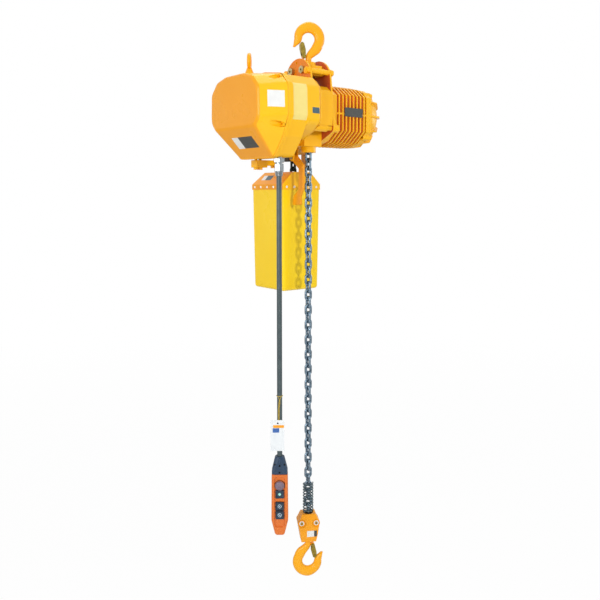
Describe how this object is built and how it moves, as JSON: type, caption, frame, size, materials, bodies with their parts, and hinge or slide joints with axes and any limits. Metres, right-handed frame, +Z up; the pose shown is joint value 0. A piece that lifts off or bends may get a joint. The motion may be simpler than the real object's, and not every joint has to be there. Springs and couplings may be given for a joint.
{
  "type": "electric chain hoist",
  "caption": "Electric chain hoist hung from a swivel hook: finned motor, gear and control casing, pocketed sheave, chain bucket, pendant control and a spring-buffered load hook.",
  "frame": {"origin": "where the upper hook's bowl bears on what it hangs from", "axes": "X along the motor shaft with the motor at +X, -Y towards the person at the pendant, +Z up along the chain"},
  "size_m": [0.464, 0.3072, 1.5443],
  "materials": {
    "yellow_paint": "semi-gloss enamel",
    "orange_paint": "semi-gloss enamel",
    "hook_paint": "gloss enamel over forging",
    "frame_paint": "satin enamel",
    "zinc_steel": "zinc plated",
    "machined_steel": "machined",
    "chain_steel": "case hardened, oiled",
    "spring_steel": "oiled, blackened",
    "latch_sheet": "yellow passivated sheet",
    "white_rivet": "plain",
    "nickel": "nickel plated",
    "black_cable": "matt sheath",
    "boot_rubber": "moulded",
    "pendant_plastic": "moulded, fine grain",
    "button_plastic": "moulded",
    "start_plastic": "moulded",
    "stop_plastic": "moulded",
    "tag_card": "bare card",
    "dark_plastic": "moulded",
    "lacquered_winding": "lacquered copper",
    "cast_grey": "as cast"
  },
  "bodies": {
    "hoist": {"control_cover": "yellow_paint", "housing_screws": "zinc_steel", "control_panel": "zinc_steel", "contactors": "dark_plastic", "transformer": "lacquered_winding", "gear_housing": "yellow_paint", "side_plate_left": "frame_paint", "side_plate_right": "frame_paint", "stay_rods": "orange_paint", "frame_nuts": "orange_paint", "sheave_cover": "yellow_paint", "yoke_block": "orange_paint", "yoke_shafts": "orange_paint", "top_hook_bearing": "machined_steel", "motor_housing": "yellow_paint", "stator": "lacquered_winding", "brake_magnet": "cast_grey", "shaft_bearings": "machined_steel", "end_shield": "orange_paint", "motor_end_cover": "orange_paint", "chain_guide": "frame_paint", "load_chain_fall": "chain_steel", "slack_chain": "chain_steel", "limit_switch": "dark_plastic", "chain_bucket": "yellow_paint", "bucket_hood": "orange_paint", "hood_rivets": "white_rivet", "bucket_bracket": "orange_paint", "hanger_pins": "zinc_steel", "eye_bolt": "orange_paint", "cable_gland": "nickel", "pendant_cable": "black_cable", "cable_tag": "tag_card", "pendant_body": "pendant_plastic", "pendant_boot": "boot_rubber"},
    "top_hook": {"top_hook": "hook_paint", "top_hook_nut": "machined_steel", "top_latch_pin": "zinc_steel"},
    "top_latch": {"top_latch": "latch_sheet"},
    "rotor": {"motor_rotor": "machined_steel", "brake_disc": "cast_grey"},
    "lay_shaft": {"lay_shaft": "machined_steel"},
    "sheave": {"load_sheave": "machined_steel", "output_wheel": "machined_steel"},
    "hook_block": {"block_half_front": "orange_paint", "block_half_rear": "orange_paint", "block_bolts": "zinc_steel", "chain_pin": "zinc_steel", "buffer_spring": "spring_steel", "load_chain_end": "chain_steel", "load_hook_bearing": "machined_steel"},
    "load_hook": {"load_hook": "hook_paint", "load_hook_nut": "machined_steel", "load_latch_pin": "zinc_steel"},
    "load_latch": {"load_latch": "latch_sheet"},
    "limit_lever": {"limit_lever": "orange_paint"},
    "stop_button": {"stop_button": "stop_plastic"},
    "start_button": {"start_button": "start_plastic"},
    "up_button": {"up_button": "button_plastic"},
    "down_button": {"down_button": "button_plastic"}
  },
  "joints": [
    {"name": "motor_spin", "type": "hinge", "parent": "hoist", "child": "rotor", "pos_m": [0, 0.03398, -0.213], "axis": [-1, 0, 0], "range_deg": [0, 70560]},
    {"name": "lay_spin", "type": "hinge", "parent": "hoist", "child": "lay_shaft", "pos_m": [0, -0.03202, -0.213], "axis": [-1, 0, 0], "range_deg": [-10080, 0]},
    {"name": "sheave_spin", "type": "hinge", "parent": "hoist", "child": "sheave", "pos_m": [0, 0.03398, -0.213], "axis": [-1, 0, 0], "range_deg": [0, 1440], "deforming": ["slack_chain"]},
    {"name": "hook_lift", "type": "slide", "parent": "hoist", "child": "hook_block", "axis": [0, 0, 1], "range_m": [0, 0.84], "deforming": ["load_chain_fall"]},
    {"name": "load_hook_swivel", "type": "hinge", "parent": "hook_block", "child": "load_hook", "pos_m": [0, 0, -1.48769], "axis": [0, 0, 1], "continuous": true},
    {"name": "load_latch_hinge", "type": "hinge", "parent": "load_hook", "child": "load_latch", "pos_m": [0.01126, -0.0065, -1.42369], "axis": [0.5, 0.866, 0], "range_deg": [0, 30], "stiffness_Nm_per_rad": 0.05},
    {"name": "top_hook_swivel", "type": "hinge", "parent": "hoist", "child": "top_hook", "pos_m": [0, 0, 0], "axis": [0, 0, 1], "continuous": true},
    {"name": "top_latch_hinge", "type": "hinge", "parent": "top_hook", "child": "top_latch", "pos_m": [-0.01168, 0.0057, -0.064], "axis": [0.4384, 0.8988, 0], "range_deg": [0, 30], "stiffness_Nm_per_rad": 0.05},
    {"name": "limit_trip", "type": "hinge", "parent": "hoist", "child": "limit_lever", "pos_m": [-0.0207, 0.037, -0.332], "axis": [-1, 0, 0], "range_deg": [0, 8], "stiffness_Nm_per_rad": 1.5},
    {"name": "stop_press", "type": "slide", "parent": "hoist", "child": "stop_button", "axis": [0.6157, 0.788, 0], "range_m": [0, 0.004]},
    {"name": "start_press", "type": "slide", "parent": "hoist", "child": "start_button", "axis": [0.6157, 0.788, 0], "range_m": [0, 0.004], "stiffness_N_per_m": 400},
    {"name": "up_press", "type": "slide", "parent": "hoist", "child": "up_button", "axis": [0.6157, 0.788, 0], "range_m": [0, 0.004], "stiffness_N_per_m": 400},
    {"name": "down_press", "type": "slide", "parent": "hoist", "child": "down_button", "axis": [0.6157, 0.788, 0], "range_m": [0, 0.004], "stiffness_N_per_m": 400}
  ],
  "couplings": [
    {"joint": "lay_spin", "follows": "motor_spin", "ratio": -0.14286},
    {"joint": "sheave_spin", "follows": "motor_spin", "ratio": 0.020408},
    {"joint": "hook_lift", "follows": "motor_spin", "m_per_rad": 0.00068209}
  ]
}
